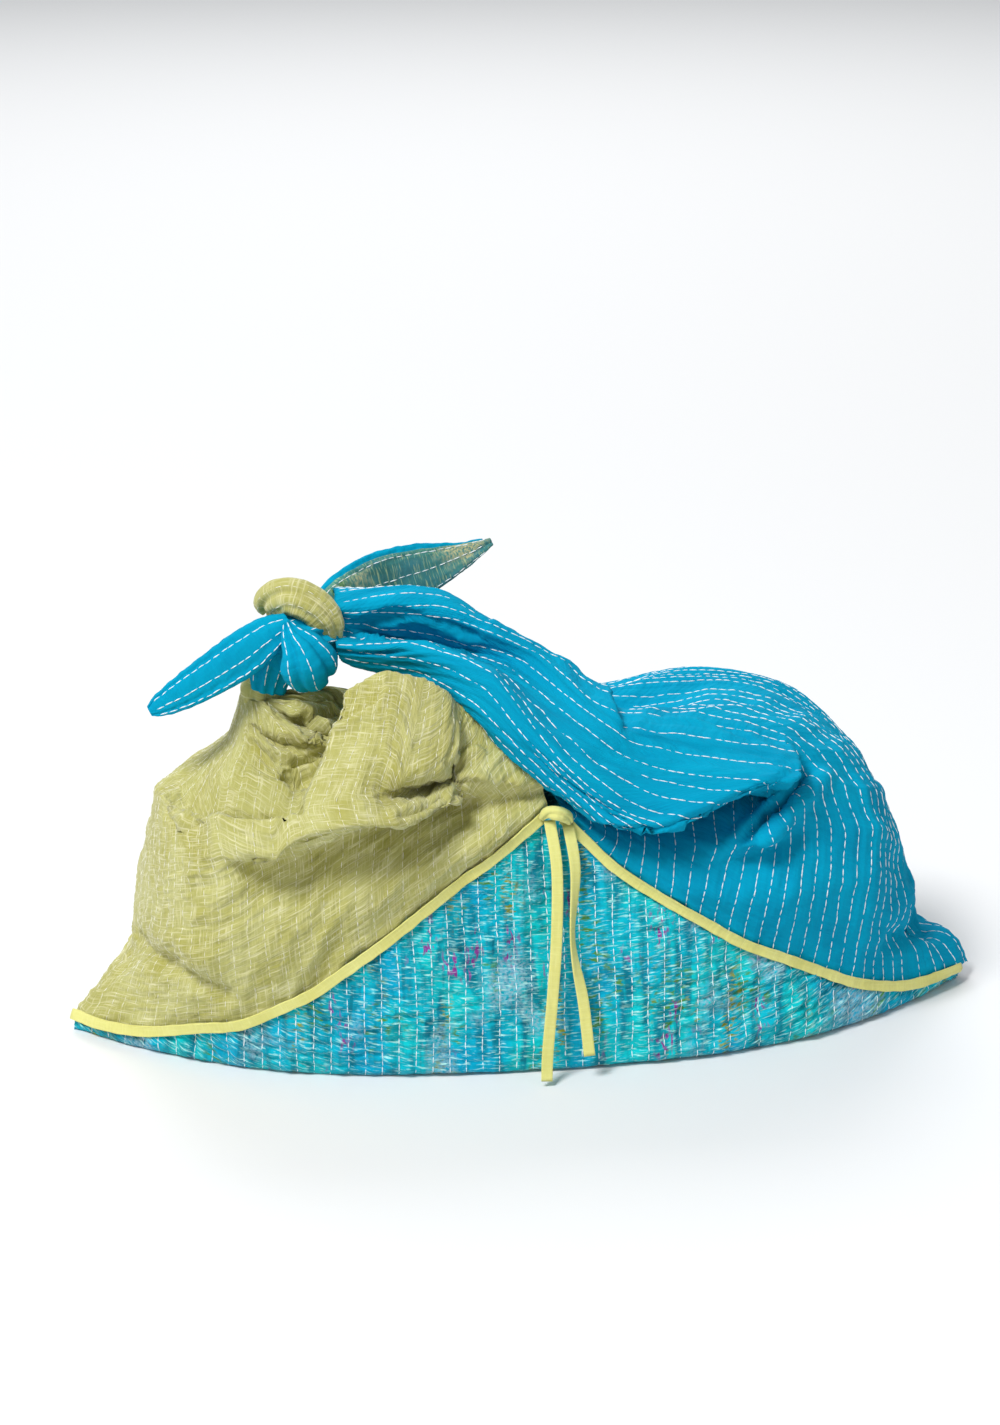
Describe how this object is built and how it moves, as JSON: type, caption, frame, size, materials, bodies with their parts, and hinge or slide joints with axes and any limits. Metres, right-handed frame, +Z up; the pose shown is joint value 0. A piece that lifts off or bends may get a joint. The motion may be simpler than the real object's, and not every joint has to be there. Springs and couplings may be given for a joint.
{
  "type": "clutch bag",
  "caption": "Knotted clutch bag of quilted cotton: lime, cyan and patterned turquoise squares, bound seams, folded top, knotted strap.",
  "frame": {"origin": "centre of the base square on the floor", "axes": "+X from the lime end to the tip of the cyan end, +Z up, -Y towards the front corner with the ties"},
  "size_m": [0.4529, 0.1785, 0.2277],
  "materials": {
    "patterned_cotton": "matt",
    "lime_cotton": "matt",
    "cyan_cotton": "matt",
    "tape_cotton": "matt"
  },
  "bodies": {
    "root": {"base_panel": "patterned_cotton", "lime_end": "lime_cotton", "cyan_end": "cyan_cotton", "binding_front_left": "tape_cotton", "binding_front_right": "tape_cotton", "binding_back_left": "tape_cotton", "binding_back_right": "tape_cotton", "tie_left": "tape_cotton", "tie_right": "tape_cotton"}
  },
  "joints": []
}
